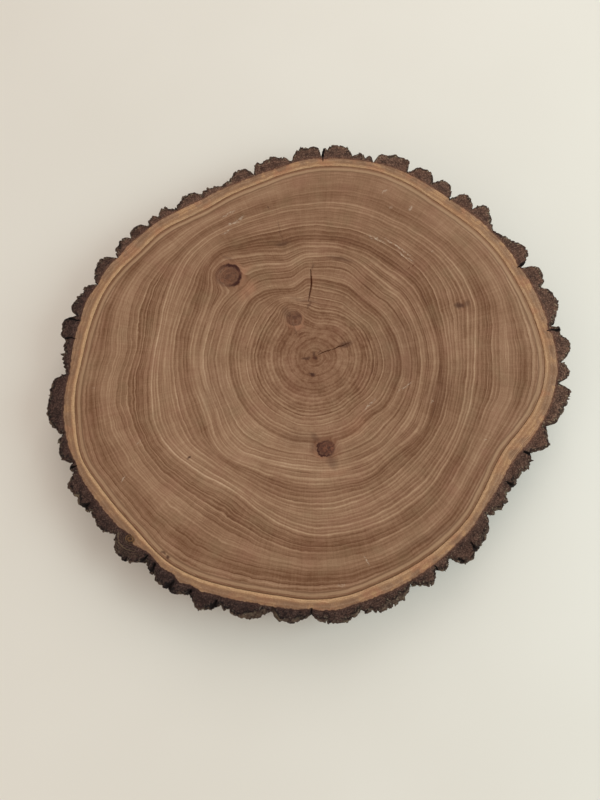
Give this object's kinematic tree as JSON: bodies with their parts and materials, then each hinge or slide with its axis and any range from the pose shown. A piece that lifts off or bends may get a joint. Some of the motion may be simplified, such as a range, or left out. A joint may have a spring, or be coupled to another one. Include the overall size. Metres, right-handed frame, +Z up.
{
  "type": "wood slice",
  "caption": "Round cross-cut slice of a trunk with growth rings on its sawn faces and thick furrowed bark around its edge.",
  "frame": {"origin": "middle of the bounding box, on the surface that the slice lies on", "axes": "+Z up, out of the upper sawn face; +X along the widest way across; +Y to the top of the picture"},
  "size_m": [0.3874, 0.3674, 0.038],
  "materials": {
    "wood": "sawn and lightly sanded end grain, dry and matt",
    "bark": "rough, crumbly and matt, with a tan inner layer on the sawn faces"
  },
  "bodies": {
    "root": {"wood": "wood", "bark": "bark"}
  },
  "joints": []
}
